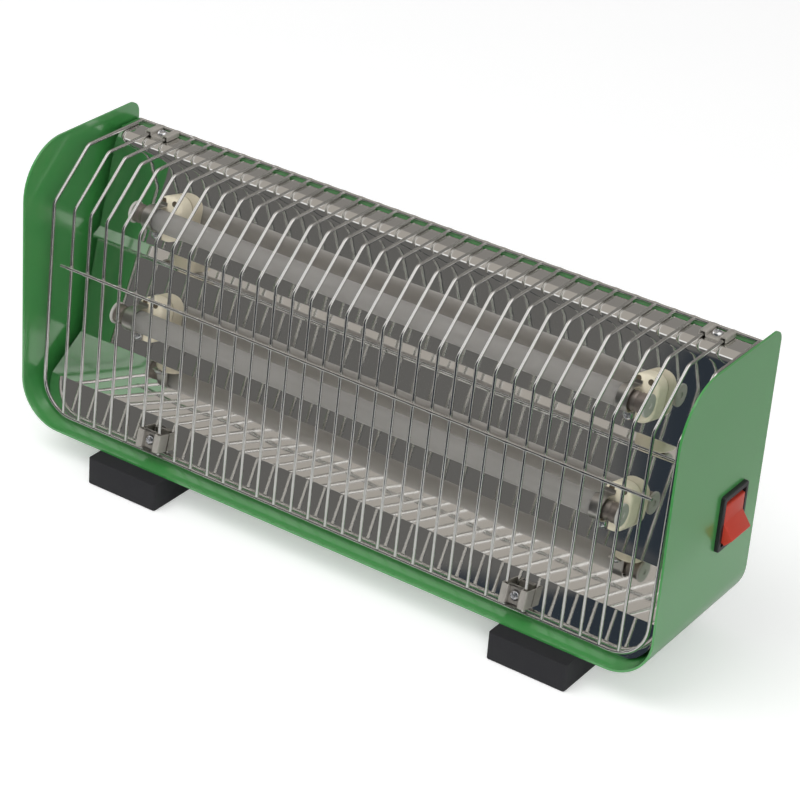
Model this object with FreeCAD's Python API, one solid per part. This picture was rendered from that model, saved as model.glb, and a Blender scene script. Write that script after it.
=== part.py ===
import FreeCAD, Part
import math
import os

# Radiant heater: bent sheet case, folded reflector, two quartz tubes, wire guard and rocker switch.
# Lengths in mm. While building, x = 0 is the case's middle, y = 0 its front edge and z = 0 its underside.

# Case: one sheet bent into two walls and a floor
case_length = 400.0
case_depth = 94.5
wall_height = 160.5
sheet = 1.2
case_bend = 25.0
front_corner = 30.0
back_corner = 7.0
return_flange = 12.0

# Back cover, with a flange that turns forward under the reflector
cover_sheet = 1.0
cover_margin = 2.5
cover_top = 150.4
cover_reach = 17.5
cover_bend = 1.5
vent_length = 26.0
vent_width = 4.0
vent_pitch = 36.0
vent_columns = 8
vent_rows = (70.0, 84.0, 98.0)
cover_screw_heights = (35.0, 115.0)
cover_screw_inset = 50.0

# Reflector, measured on its polished side
mirror_sheet = 0.6
mirror_side_clearance = 5.8
lip_setback = 11.0
lip_height = 22.3
lip_lean = 15.0
lip_turn = 14.0
floor_run = 24.1
floor_rise = 16.2
panel_lean = 13.8
ridge_out = 5.5
ridge_above = 4.2
ridge_below = 4.0
ridge_drop = 1.2
mirror_fold = 0.5
mirror_top_bend = 8.2
mirror_end_inset = 9.0

# Quartz tubes, given by their place on the reflector's panels
tube_outer = 12.0
tube_wall = 1.0
tube_side_gap = 54.0
tube_standoff = 17.0
tube_climb = 24.3
coil_outer = 6.8
cap_plug = 6.0
cap_plug_clearance = 0.1
cap_neck = 10.5
cap_reach = 12.0
cap_disc = 12.2
cap_disc_thick = 1.6

# Ceramic holders and straps
strap_past_tube = 1.0
holder_shift = 4.0
holder_wide = 17.0
holder_tall = 25.0
holder_corner = 6.5
holder_edge = 1.2
holder_gap = 0.2
spigot = 5.0
pocket = 2.6
pocket_deep = 4.0
pocket_spread = 7.0
pocket_climb = 9.4
strap_sheet = 0.5
strap_wide = 6.5
strap_clearance = 0.2
strap_fold = 0.6
strap_foot = 5.4
strap_hook = 2.2
washer = 12.0
washer_thick = 1.2
nut_across = 5.5
nut_thick = 2.4
terminal_spare = 2.8

# Wire guard
guard_side_clearance = 7.0
guard_front = 8.5
guard_foot = 5.5
guard_low_y = 15.5
guard_low_z = 127.5
guard_high_y = 43.0
guard_rear_inset = 6.0
guard_lift = 0.3
guard_rod = 2.2
guard_corner = 20.0
guard_bend = 4.0
guard_mid = 94.5
wire = 1.8
wire_end_gap = 14.2
wire_count = 33

# Saddle clips, each over two wires with a screw between them
clip_sheet = 0.8
clip_wide = 10.0
clip_clearance = 0.4
clip_fold = 0.4
clip_stop = 0.3
clip_bottom_climb = 11.2
clip_top_inset = 13.0
clip_bottom_wire_count = 5
clip_top_wire_count = 0

# Screws
screw_head = 6.0
screw_head_high = 2.2
screw_shank = 3.0
screw_short = 6.0
screw_long = 12.0
head_round_share = 0.6

# Feet
foot_width = 46.0
foot_height = 16.0
foot_reach = 10.0
foot_side_inset = 71.0
foot_shift = 8.0
foot_round = 1.5
foot_screw_front = 18.0
foot_screw_back_inset = 18.5

# Rocker switch in the right wall
bezel_wide = 25.2
bezel_tall = 31.6
bezel_proud = 2.2
bezel_corner = 2.0
bezel_round = 0.7
switch_y = 65.1
switch_z = 67.8
switch_wide = 22.4
switch_tall = 28.6
switch_deep = 22.0
switch_hole_clearance = 0.1
well_wide = 20.2
well_tall = 26.2
well_deep = 8.5
rocker_wide = 19.6
rocker_half = 12.2
rocker_valley = 1.5
rocker_taper = 3.0
rocker_skirt = 1.0
rocker_belly = 5.0
rocker_belly_half = 7.0
rocker_tilt = 18.0
pin = 2.0
pin_long = 1.2
pin_clearance = 0.05
pin_hole_extra = 0.3
blade_wide = 6.3
blade_thick = 0.8
blade_long = 8.0
blade_spread = 14.0

# Wiring
lead = 2.4
lead_bend = 4.0
lead_drop = 14.0
lead_lane_gap = 12.0
lead_lane_z = 8.0
lead_rise_gap = 10.0
lead_turn_gap = 13.0
block_x = 75.0
block_back_gap = 15.3
block_long = 24.0
block_deep = 16.0
block_tall = 14.0
block_pitch = 14.0
block_entry = 4.0
block_entry_deep = 5.0
gland_x = 75.0
gland_z = 24.0
gland_flange = 16.0
gland_flange_thick = 2.5
gland_body = 11.8
gland_body_long = 6.0
gland_bore = 7.6

V = FreeCAD.Vector
right_angle = 90.0


def rounded_edges(points, radii):
    """Straight runs through the points, joined at each inner point by a tangent arc."""
    edges = []
    start = points[0]
    for i, radius in enumerate(radii, 1):
        d_in = (points[i] - points[i - 1]).normalize()
        d_out = (points[i + 1] - points[i]).normalize()
        half_turn = d_in.getAngle(d_out) / 2
        reach = radius * math.tan(half_turn)
        inward = (d_out - d_in).normalize()
        first = points[i] - d_in * reach
        last = points[i] + d_out * reach
        middle = points[i] + inward * (radius / math.cos(half_turn) - radius)
        edges.append(Part.LineSegment(start, first).toShape())
        edges.append(Part.Arc(first, middle, last).toShape())
        start = last
    edges.append(Part.LineSegment(start, points[-1]).toShape())
    return edges


def bent_rod(points, radii, diameter):
    """A round rod along the points, bent by the radii."""
    path = Part.Wire(rounded_edges(points, radii))
    ring = Part.Wire(Part.makeCircle(diameter / 2, points[0], points[1] - points[0]))
    return path.makePipeShell([ring], True, False)


def bent_sheet(points, inner_radii, thickness, run):
    """A folded sheet: one side goes through the points, the other lies to their left, seen along run."""
    axis = V(run).normalize()
    steps = [(b - a).normalize() for a, b in zip(points, points[1:])]
    sides = [axis.cross(step) * thickness for step in steps]
    far = [points[0] + sides[0]]
    near_radii, far_radii = [], []
    for i, inner in enumerate(inner_radii, 1):
        even = 1 + axis.cross(steps[i - 1]).dot(axis.cross(steps[i]))
        far.append(points[i] + (sides[i - 1] + sides[i]) * (1 / even))
        left = axis.dot(steps[i - 1].cross(steps[i])) > 0
        near_radii.append(inner + thickness if left else inner)
        far_radii.append(inner if left else inner + thickness)
    far.append(points[-1] + sides[-1])
    edges = rounded_edges(points, near_radii)
    edges.append(Part.LineSegment(points[-1], far[-1]).toShape())
    edges += rounded_edges(far[::-1], far_radii[::-1])
    edges.append(Part.LineSegment(far[0], points[0]).toShape())
    return Part.Face(Part.Wire(edges)).extrude(run)


def rounded_block(wide, deep, corner, high):
    """A block on z = 0, centred on the Z axis, with rounded upright edges."""
    block = Part.makeBox(wide, deep, high, V(-wide / 2, -deep / 2, 0))
    return block.makeFillet(corner, [e for e in block.Edges if e.BoundBox.ZLength > high / 2])


def round_top(shape, radius):
    """Rounds the rim of the shape's top face."""
    box = shape.BoundBox
    middle = (box.ZMin + box.ZMax) / 2
    return shape.makeFillet(radius, [e for e in shape.Edges if e.BoundBox.ZMin > middle])


def inside_case(half, bottom, corner, y_from, y_to):
    """A prism along Y as wide as asked, with round lower corners, to trim sheets to the case's bend."""
    block = Part.makeBox(2 * half, y_to - y_from, wall_height - bottom, V(-half, y_from, bottom))
    low = [e for e in block.Edges if e.BoundBox.YLength > 0 and e.BoundBox.ZMax < wall_height / 2]
    low = [e for e in low if e.BoundBox.XLength < half]
    return block.makeFillet(corner, [e for e in low if e.BoundBox.ZLength < corner])


def screw(length):
    """A pan head screw along Z: head on z = 0, shank below."""
    head = round_top(Part.makeCylinder(screw_head / 2, screw_head_high), screw_head_high * head_round_share)
    return head.fuse(Part.makeCylinder(screw_shank / 2, length, V(0, 0, -length)))


def seat(shape, plane):
    """A copy of the shape moved from its own axes into a plane's."""
    out = shape.copy()
    out.Placement = plane.multiply(out.Placement)
    return out


def shifted(shape, x, y, z):
    out = shape.copy()
    out.translate(V(x, y, z))
    return out


def facing(x, y, z, axis):
    """A plane at a point whose Z looks along the axis."""
    return FreeCAD.Placement(V(x, y, z), FreeCAD.Rotation(V(0, 0, 1), axis))


def leaning(y, z, lean):
    """A plane through (y, z) whose Y climbs the leaning sheet and whose Z leaves its front."""
    return FreeCAD.Placement(V(0, y, z), FreeCAD.Rotation(V(1, 0, 0), right_angle - lean))


# Places that follow from the sizes above
case_half = case_length / 2
mirror_half = case_half - sheet - mirror_side_clearance
mirror_end = case_depth - mirror_end_inset
guard_half = case_half - sheet - guard_side_clearance
guard_rear = case_depth - guard_rear_inset
tube_length = case_length - 2 * tube_side_gap
holder_spacing = tube_length + 2 * strap_past_tube
foot_spacing = case_length - 2 * foot_side_inset
mirror_top = cover_top + mirror_sheet
lip_top_y = lip_setback + lip_height * math.tan(math.radians(lip_lean))
lip_top_z = sheet + lip_height
panel_y = lip_top_y + floor_run
panel_z = lip_top_z + floor_rise
panel_long = (mirror_top - panel_z) / math.cos(math.radians(panel_lean))
panel_half = panel_long / 2
panel = leaning(panel_y, panel_z, panel_lean)
lip = leaning(lip_setback, sheet, lip_lean)
tube_climbs = {"lower": tube_climb, "upper": panel_half + tube_climb}
sides = {"left": -1, "right": 1}
tube_end = tube_length / 2
guard_top = mirror_top + guard_lift + wire / 2
wire_pitch = 2 * (guard_half - wire_end_gap) / (wire_count - 1)
wire_xs = [(i - (wire_count - 1) / 2) * wire_pitch for i in range(wire_count)]
foot_xs = {side: sign * foot_spacing / 2 + foot_shift for side, sign in sides.items()}
holder_xs = {side: sign * holder_spacing / 2 + holder_shift for side, sign in sides.items()}
holder_thick = tube_standoff - tube_outer / 2 - holder_gap
strap_inner = tube_outer / 2 + strap_clearance
strap_screw = strap_inner + strap_sheet + strap_foot / 2
back_y = case_depth + cover_sheet
x_axis = V(1, 0, 0)
y_axis = V(0, 1, 0)
z_axis = V(0, 0, 1)
nodes = {}


# Case wrap
def u_points(top):
    return [V(case_half, 0, top), V(case_half, 0, 0), V(-case_half, 0, 0), V(-case_half, 0, top)]


def wall_outline():
    block = Part.makeBox(case_length, case_depth, wall_height, V(-case_half, 0, 0))
    crests = [e for e in block.Edges if e.BoundBox.XLength > case_half and e.BoundBox.ZMin > wall_height / 2]
    front = [e for e in crests if e.BoundBox.YMin < case_depth / 2]
    block = block.makeFillet(front_corner, front)
    crests = [e for e in block.Edges if e.BoundBox.XLength > case_half and e.BoundBox.ZMin > wall_height / 2]
    return block.makeFillet(back_corner, [max(crests, key=lambda e: e.BoundBox.YMin)])


bend_inner = case_bend - sheet
wrap = bent_sheet(u_points(wall_height), [bend_inner] * 2, sheet, y_axis * case_depth).common(wall_outline())
flange_top = cover_top - cover_sheet - guard_lift
flange = bent_sheet(u_points(flange_top), [case_bend - return_flange] * 2, return_flange, y_axis * sheet)
wrap = wrap.fuse(shifted(flange, 0, case_depth - sheet, 0)).removeSplitter()

# Back cover with vents
cover_half = case_half - cover_margin
cover_points = [V(-cover_half, back_y, cover_margin), V(-cover_half, back_y, cover_top)]
cover_points.append(V(-cover_half, back_y - cover_reach, cover_top))
cover = bent_sheet(cover_points, [cover_bend], cover_sheet, x_axis * (2 * cover_half))
cover = cover.common(inside_case(cover_half, cover_margin, case_bend - cover_margin, 0, back_y))
slot = rounded_block(vent_length, vent_width, vent_width / 2 * (1 - pin_clearance), case_depth)
for z in vent_rows:
    for i in range(vent_columns):
        x = (i - (vent_columns - 1) / 2) * vent_pitch
        cover = cover.cut(seat(slot, facing(x, back_y + case_depth / 2, z, -y_axis)))

# Reflector
ridge = [V(0, panel_half + ridge_above, 0), V(0, panel_half - ridge_drop, ridge_out)]
ridge.append(V(0, panel_half - ridge_below, 0))
profile = [V(0, mirror_end, mirror_top), panel.multVec(V(0, panel_long, 0))]
profile += [panel.multVec(point) for point in ridge]
profile += [V(0, panel_y, panel_z), V(0, lip_top_y, lip_top_z), V(0, lip_setback, sheet)]
profile.append(V(0, lip_setback + lip_turn, sheet))
profile = [point - x_axis * mirror_half for point in profile]
mirror = bent_sheet(profile, [mirror_top_bend] + [mirror_fold] * 6, mirror_sheet, x_axis * (2 * mirror_half))
mirror_corner = mirror_half - case_half + case_bend
mirror = mirror.common(inside_case(mirror_half, sheet, mirror_corner, 0, case_depth))

# Wire guard: frame rod, rear rod, wires and middle rod
guard_line = [V(0, guard_rear - guard_rod / 2, guard_top), V(0, guard_high_y, guard_top)]
guard_line += [V(0, guard_low_y, guard_low_z), V(0, guard_front, guard_foot)]
left_line = [point - x_axis * guard_half for point in guard_line]
right_line = [point + x_axis * guard_half for point in guard_line]
frame_radii = [guard_bend, guard_bend, guard_corner, guard_corner, guard_bend, guard_bend]
nodes["guard_frame"] = bent_rod(left_line + right_line[::-1], frame_radii, guard_rod)
rear_half = guard_half + guard_rod / 2
rear_start = V(-rear_half, guard_rear, guard_top)
nodes["guard_rear_rod"] = Part.makeCylinder(guard_rod / 2, 2 * rear_half, rear_start, x_axis)
climb = (guard_line[2] - guard_line[3]).normalize()
wire_line = guard_line[:3] + [guard_line[3] + climb * (guard_rod / 2)]
plain_wire = bent_rod(wire_line, [guard_bend] * 2, wire)
wires = []
for x in wire_xs:
    one = shifted(plain_wire, x, 0, 0)
    if abs(x) + wire > guard_half - guard_corner:
        one = max(one.cut(nodes["guard_frame"]).Solids, key=lambda solid: solid.Volume)
    wires.append(one)
nodes["guard_wires"] = Part.makeCompound(wires)
mid_y = guard_front + (guard_mid - guard_foot) * climb.y / climb.z - wire / climb.z
mid_half = wire_xs[-1] + wire_pitch / 2
nodes["guard_middle_rod"] = Part.makeCylinder(wire / 2, 2 * mid_half, V(-mid_half, mid_y, guard_mid), x_axis)


# Saddle clips with their screws
def saddle(high):
    """A clip across two wires, centred between them, on its plane's z = 0."""
    outer = wire_pitch / 2 + wire / 2 + clip_clearance
    inner = wire_pitch / 2 - wire / 2 - clip_clearance
    line = [(outer, clip_stop), (outer, high), (inner, high), (inner, 0)]
    line += [(-x, z) for x, z in line[::-1]]
    points = [V(x, -clip_wide / 2, z) for x, z in line]
    return bent_sheet(points, [clip_fold] * 6, clip_sheet, y_axis * clip_wide)


def wire_height(plane, climb_to):
    """How far the front run of the wires stands off a leaning plane, at a climb along it."""
    foot = plane.inverse().multVec(guard_line[3])
    knee = plane.inverse().multVec(guard_line[2])
    return foot.z + (knee.z - foot.z) * (climb_to - foot.y) / (knee.y - foot.y)


clip_screws = []
bottom_high = wire_height(lip, clip_bottom_climb + clip_wide / 2) + wire / 2 + clip_clearance
top_high = guard_lift + wire + clip_clearance
level = FreeCAD.Placement(V(0, 0, mirror_top), FreeCAD.Rotation())
clip_rows = {"bottom": (lip, clip_bottom_climb, bottom_high, clip_bottom_wire_count)}
clip_rows["top"] = (level, case_depth - clip_top_inset, top_high, clip_top_wire_count)
for row, (plane, along, high, wires_before) in clip_rows.items():
    for side, sign in sides.items():
        x = -sign * (wire_xs[wires_before] + wire_pitch / 2)
        fastener = seat(shifted(screw(screw_short), x, along, clip_sheet), plane)
        clip = seat(shifted(saddle(high), x, along, 0), plane)
        nodes["guard_clip_" + row + "_" + side] = clip.cut(fastener)
        clip_screws.append(fastener)
for fastener in clip_screws:
    mirror = mirror.cut(fastener)
    cover = cover.cut(fastener)
nodes["clip_screws"] = Part.makeCompound(clip_screws)


# Tubes, coils and end caps, built along X through the origin of the panel's axes
def tube_parts():
    tube = Part.makeCylinder(tube_outer / 2, tube_length, V(-tube_end, 0, 0), x_axis)
    bore = tube_outer / 2 - tube_wall
    tube = tube.cut(Part.makeCylinder(bore, tube_length, V(-tube_end, 0, 0), x_axis))
    coil_half = tube_end - cap_plug
    coil = Part.makeCylinder(coil_outer / 2, 2 * coil_half, V(-coil_half, 0, 0), x_axis)
    plug = Part.makeCylinder(bore - cap_plug_clearance, cap_plug, V(coil_half, 0, 0), x_axis)
    neck = Part.makeCylinder(cap_neck / 2, cap_reach, V(tube_end, 0, 0), x_axis)
    disc = Part.makeCylinder(cap_disc / 2, cap_disc_thick, V(tube_end + cap_reach, 0, 0), x_axis)
    return tube, coil, plug.fuse(neck).fuse(disc).removeSplitter()


# Ceramic holder, with its spigot through the reflector
def holder():
    block = round_top(rounded_block(holder_wide, holder_tall, holder_corner, holder_thick), holder_edge)
    for sign in sides.values():
        hole = Part.makeCylinder(pocket / 2, pocket_deep, V(0, 0, holder_thick - pocket_deep))
        block = block.cut(shifted(hole, sign * pocket_spread / 2, pocket_climb, 0))
    stub = Part.makeCylinder(spigot / 2, mirror_sheet + washer_thick, V(0, 0, -mirror_sheet - washer_thick))
    return block.fuse(shifted(stub, -holder_shift, -strap_screw, 0))


# Strap over a tube end, with a screwed foot below and a hook above
def strap():
    top = tube_standoff + strap_inner
    line = [(-strap_screw - strap_foot / 2, holder_thick), (-strap_inner, holder_thick), (-strap_inner, top)]
    line += [(strap_inner, top), (strap_inner, holder_thick)]
    line.append((strap_inner + strap_sheet + strap_hook, holder_thick))
    points = [V(-strap_wide / 2, u, n) for u, n in line]
    crown = strap_inner * (1 - pin_clearance)
    return bent_sheet(points, [strap_fold, crown, crown, strap_fold], strap_sheet, x_axis * strap_wide)


def hexagon(across, thick):
    """A nut blank under z = 0, with flats towards +Y and -Y."""
    reach = across / math.sqrt(3)
    angles = [math.pi * (i % 6) / 3 for i in range(7)]
    corners = [V(reach * math.cos(a), reach * math.sin(a), -thick) for a in angles]
    return Part.Face(Part.makePolygon(corners)).extrude(z_axis * thick)


tube, coil, cap = tube_parts()
left_cap = cap.mirror(V(0, 0, 0), x_axis)
terminal_screws, washers, nuts = [], [], []
washer_back = -mirror_sheet - washer_thick
strap_xs = {side: sign * holder_spacing / 2 for side, sign in sides.items()}
terminal_tips = {}
for row, tube_u in tube_climbs.items():
    nodes["quartz_tube_" + row] = seat(shifted(tube, 0, tube_u, tube_standoff), panel)
    nodes["heating_coil_" + row] = seat(shifted(coil, 0, tube_u, tube_standoff), panel)
    for side in sides:
        x = holder_xs[side]
        where = "_" + row + "_" + side
        end_cap = left_cap if side == "left" else cap
        nodes["end_cap" + where] = seat(shifted(end_cap, 0, tube_u, tube_standoff), panel)
        screw_x = strap_xs[side]
        screw_u = tube_u - strap_screw
        tip = washer_back - nut_thick - terminal_spare
        seat_height = holder_thick + strap_sheet
        fastener = shifted(screw(seat_height - tip), screw_x, screw_u, seat_height)
        body = shifted(holder(), x, tube_u, 0)
        spigot_hole = Part.makeCylinder(spigot / 2, -washer_back, V(screw_x, screw_u, washer_back))
        terminal_tips[where] = panel.multVec(V(screw_x, screw_u, tip))
        band = shifted(strap(), screw_x, tube_u, 0)
        disc = Part.makeCylinder(washer / 2, washer_thick, V(screw_x, screw_u, washer_back))
        disc = disc.cut(spigot_hole)
        nut = shifted(hexagon(nut_across, nut_thick), screw_x, screw_u, washer_back)
        nodes["ceramic_holder" + where] = seat(body.cut(fastener), panel)
        nodes["tube_strap" + where] = seat(band.cut(fastener), panel)
        terminal_screws.append(seat(fastener, panel))
        washers.append(seat(disc.cut(fastener), panel))
        nuts.append(seat(nut.cut(fastener), panel))
        mirror = mirror.cut(seat(spigot_hole, panel))
nodes["terminal_screws"] = Part.makeCompound(terminal_screws)
nodes["insulating_washers"] = Part.makeCompound(washers)
nodes["terminal_nuts"] = Part.makeCompound(nuts)

# Feet, screwed on from inside
foot_long = case_depth + 2 * foot_reach
foot_block = rounded_block(foot_width, foot_long, foot_round, foot_height)
foot_block = shifted(foot_block, 0, case_depth / 2, -foot_height)
foot_screws = []
for side, x in foot_xs.items():
    front = shifted(screw(screw_long), x, foot_screw_front, sheet + mirror_sheet)
    back = shifted(screw(screw_long), x, case_depth - foot_screw_back_inset, sheet)
    foot_screws += [front, back]
    nodes["foot_" + side] = shifted(foot_block, x, 0, 0).cut(front).cut(back)
for fastener in foot_screws:
    wrap = wrap.cut(fastener)
    mirror = mirror.cut(fastener)
nodes["foot_screws"] = Part.makeCompound(foot_screws)

# Cover screws, from behind into the return flanges
rim = return_flange / 2
spots = [(sign * (case_half - rim), z) for sign in sides.values() for z in cover_screw_heights]
spots += [(sign * (case_half - cover_screw_inset), rim) for sign in sides.values()]
cover_screws = [seat(screw(screw_short), facing(x, back_y, z, y_axis)) for x, z in spots]
for fastener in cover_screws:
    wrap = wrap.cut(fastener)
    cover = cover.cut(fastener)
nodes["cover_screws"] = Part.makeCompound(cover_screws)

# Rocker switch, in axes with X along the case's depth, Y up and Z out of the right wall
out_of_wall = FreeCAD.Rotation(y_axis, z_axis, x_axis, "XYZ")
wall_plane = FreeCAD.Placement(V(case_half, switch_y, switch_z), out_of_wall)
tilt = math.radians(rocker_tilt)
pivot = bezel_proud - rocker_valley * math.cos(tilt)
bezel = round_top(rounded_block(bezel_wide, bezel_tall, bezel_corner, bezel_proud), bezel_round)
housing = shifted(rounded_block(switch_wide, switch_tall, bezel_round, switch_deep), 0, 0, -switch_deep)
well_floor = pivot - well_deep
well = shifted(rounded_block(well_wide, well_tall, bezel_round, bezel_proud - well_floor), 0, 0, well_floor)
housing = housing.fuse(bezel).cut(well)
pin_reach = rocker_wide / 2 + pin_long
hole_reach = pin_reach + pin_hole_extra
pin_hole = Part.makeCylinder(pin / 2 + pin_clearance, 2 * hole_reach, V(-hole_reach, 0, pivot), x_axis)
nodes["switch_housing"] = seat(housing.cut(pin_hole), wall_plane)
rocker_crest = rocker_half - rocker_taper
rocker_end = rocker_valley + rocker_crest * math.tan(tilt)
rim_line = [(-rocker_crest, rocker_end), (0, rocker_valley), (rocker_crest, rocker_end)]
rim_line += [(rocker_half, -rocker_skirt), (rocker_belly_half, -rocker_belly)]
rim_line += [(-rocker_belly_half, -rocker_belly), (-rocker_half, -rocker_skirt), rim_line[0]]
rocker_face = Part.Face(Part.makePolygon([V(-rocker_wide / 2, b, c) for b, c in rim_line]))
rocker = rocker_face.extrude(x_axis * rocker_wide)
rocker = rocker.fuse(Part.makeCylinder(pin / 2, 2 * pin_reach, V(-pin_reach, 0, 0), x_axis))
rocker.rotate(V(0, 0, 0), x_axis, -rocker_tilt)
nodes["switch_rocker"] = seat(shifted(rocker, 0, 0, pivot), wall_plane)
cutout_wide = switch_wide + 2 * switch_hole_clearance
cutout_tall = switch_tall + 2 * switch_hole_clearance
cutout = Part.makeBox(cutout_wide, cutout_tall, 2 * sheet, V(-cutout_wide / 2, -cutout_tall / 2, -2 * sheet))
wrap = wrap.cut(seat(cutout, wall_plane))
blade = Part.makeBox(blade_wide, blade_thick, blade_long, V(-blade_wide / 2, -blade_thick / 2, -blade_long))
blades = [shifted(blade, 0, sign * blade_spread / 2, -switch_deep) for sign in sides.values()]
nodes["switch_blades"] = seat(Part.makeCompound(blades), wall_plane)

# Terminal block on the case floor and gland in the back cover
block_y = case_depth - sheet - block_back_gap - block_deep
block = Part.makeBox(block_long, block_deep, block_tall, V(block_x - block_long / 2, block_y, sheet))
for sign in sides.values():
    x = block_x + sign * block_pitch / 2
    y = block_y + block_deep
    block = block.cut(Part.makeCylinder(block_entry / 2, block_entry_deep, V(x, y, lead_lane_z), -y_axis))
    top = V(x, block_y + block_deep / 2, sheet + block_tall)
    block = block.cut(Part.makeCylinder(block_entry / 2, block_entry_deep / 2, top, -z_axis))
block_screw = shifted(screw(block_tall + sheet), block_x, block_y + block_deep / 2, sheet + block_tall)
nodes["terminal_block"] = block.cut(block_screw)
nodes["terminal_block_screw"] = block_screw
wrap = wrap.cut(block_screw)
gland = Part.makeCylinder(gland_flange / 2, gland_flange_thick)
gland = gland.fuse(Part.makeCylinder(gland_body / 2, gland_body_long, V(0, 0, -gland_body_long)))
gland_long = gland_body_long + gland_flange_thick
gland_plane = facing(gland_x, back_y, gland_z, y_axis)
gland = gland.cut(Part.makeCylinder(gland_bore / 2, gland_long, V(0, 0, -gland_body_long)))
nodes["cable_gland"] = seat(gland, gland_plane)
gland_hole = Part.makeCylinder(gland_body / 2, gland_body_long, V(0, 0, -gland_body_long))
cover = cover.cut(seat(gland_hole, gland_plane))

# Leads behind the reflector
lead_lane_y = block_y - lead_lane_gap
behind = panel.Rotation.multVec(-z_axis) * lead_drop
blade_x = case_half - switch_deep - blade_long
tips = {side: terminal_tips["_lower_" + side] for side in sides}
high_blade = V(blade_x, switch_y, switch_z + blade_spread / 2)
low_blade = V(blade_x, switch_y, switch_z - blade_spread / 2)
switched = [high_blade, high_blade - x_axis * lead_turn_gap, tips["right"] + behind, tips["right"]]
nodes["lead_switched_live"] = bent_rod(switched, [lead_bend] * 2, lead)
live_port = V(block_x + block_pitch / 2, block_y, lead_lane_z)
neutral_port = V(block_x - block_pitch / 2, block_y, lead_lane_z)
riser_x = blade_x - lead_rise_gap
live = [live_port, V(live_port.x, lead_lane_y, lead_lane_z), V(riser_x, lead_lane_y, lead_lane_z)]
live += [low_blade - x_axis * lead_rise_gap, low_blade]
nodes["lead_supply_live"] = bent_rod(live, [lead_bend] * 3, lead)
neutral = [neutral_port, V(neutral_port.x, lead_lane_y, lead_lane_z)]
neutral += [V(tips["left"].x, lead_lane_y, lead_lane_z), tips["left"] + behind, tips["left"]]
nodes["lead_supply_neutral"] = bent_rod(neutral, [lead_bend] * 3, lead)
for side in sides:
    from_u = tube_climbs["lower"] - strap_screw + nut_across / 2
    to_u = tube_climbs["upper"] - strap_screw - nut_across / 2
    start = V(strap_xs[side], from_u, washer_back - nut_thick / 2)
    bridge = Part.makeCylinder(lead / 2, to_u - from_u, start, y_axis)
    nodes["lead_bridge_" + side] = seat(bridge, panel)

nodes["case_wrap"] = wrap
nodes["back_cover"] = cover
nodes["reflector"] = mirror

# The row's origin is the middle of the bounding box's underside
reach_right = nodes["switch_rocker"].BoundBox.XMax
to_row = V((case_half - reach_right) / 2, -case_depth / 2, foot_height)
os.makedirs("parts", exist_ok=True)
for name, shape in nodes.items():
    shape.translate(to_row)
    shape.exportStep("parts/" + name + ".step")
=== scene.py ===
"""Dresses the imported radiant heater: its guard, tubes, reflector and case get their finished surfaces."""

import math

import bmesh
import bpy
import numpy as np
from mathutils import Matrix, Vector


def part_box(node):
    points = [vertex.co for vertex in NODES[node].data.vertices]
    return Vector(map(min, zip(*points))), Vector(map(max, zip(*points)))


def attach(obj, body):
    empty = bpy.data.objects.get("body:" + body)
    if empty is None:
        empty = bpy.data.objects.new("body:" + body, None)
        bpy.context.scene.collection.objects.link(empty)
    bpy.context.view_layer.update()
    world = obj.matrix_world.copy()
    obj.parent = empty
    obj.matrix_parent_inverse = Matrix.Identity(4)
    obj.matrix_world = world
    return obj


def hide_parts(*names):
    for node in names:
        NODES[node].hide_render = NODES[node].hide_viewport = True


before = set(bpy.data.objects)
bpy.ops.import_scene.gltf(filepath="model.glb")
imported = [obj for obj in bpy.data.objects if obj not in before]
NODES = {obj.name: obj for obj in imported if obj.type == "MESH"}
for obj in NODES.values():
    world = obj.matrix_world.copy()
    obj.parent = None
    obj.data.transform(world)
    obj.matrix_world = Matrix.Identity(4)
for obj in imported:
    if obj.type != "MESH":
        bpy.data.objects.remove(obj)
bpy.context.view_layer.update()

bl_info = {
    "name": "Radiant heater dressing",
    "version": (1, 0, 0),
    "blender": (4, 5, 0),
    "location": "View3D > Sidebar > Heater",
    "description": "Builds the finished surfaces of a two-tube radiant heater over its CAD frame",
    "category": "Object",
}

MM = 0.001
MICRON = MM / 1000
BODY = "heater"
ROCKER = "rocker"
ROWS = ("lower", "upper")
SIDES = {"left": -1, "right": 1}
X, Y, Z = np.eye(3)
RIGHT_ANGLE = np.pi / 2
WHITE = (1, 1, 1, 1)
# Degrees past which an edge stays sharp, on most pieces and on bent wire or sheet
EDGE_SHARP, BEND_SHARP = 35.0, 60.0
# Degrees past which an edge of the case's sheet is rounded
ROUNDED_PAST = 50.0


def box(name, start=0.0):
    """Lowest and highest corner of a CAD node, measured from a start."""
    return [np.array(corner, float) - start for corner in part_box(name)]


def middle(name):
    """Centre of a CAD node's box."""
    return sum(box(name)) / 2


def tube_radius(row):
    """Outer radius of a quartz tube."""
    low, high = box("quartz_tube_" + row)
    return (high[2] - low[2]) / 2


CASE_LOW, CASE_HIGH = box("case_wrap")
CASE_WIDE, CASE_DEEP, CASE_TALL = CASE_HIGH - CASE_LOW
# Places are measured from the middle of the case's front lower edge
ORIGIN = np.array([(CASE_LOW[0] + CASE_HIGH[0]) / 2, CASE_LOW[1], CASE_LOW[2]])
EYE = tuple(float(v) for v in ORIGIN + (0.68648, -1.01611, 0.76753))


def length(name, description, millimetres):
    """A property for a length, with its default in millimetres."""
    default = millimetres * MM
    return bpy.props.FloatProperty(name=name, description=description, default=default, unit="LENGTH")


def angle(name, description, degrees):
    """A property for an angle, with its default in degrees."""
    default = math.radians(degrees)
    return bpy.props.FloatProperty(name=name, description=description, default=default, subtype="ANGLE")


def number(name, description, default):
    """A property for a plain number."""
    return bpy.props.FloatProperty(name=name, description=description, default=default)


def count(name, description, default):
    """A property for a count."""
    return bpy.props.IntProperty(name=name, description=description, default=default, min=3)


def colour(name, description, *default):
    """A property for a colour, with its red, green and blue."""
    return bpy.props.FloatVectorProperty(
        name=name, description=description, default=default, subtype="COLOR", min=0, max=1
    )


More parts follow.
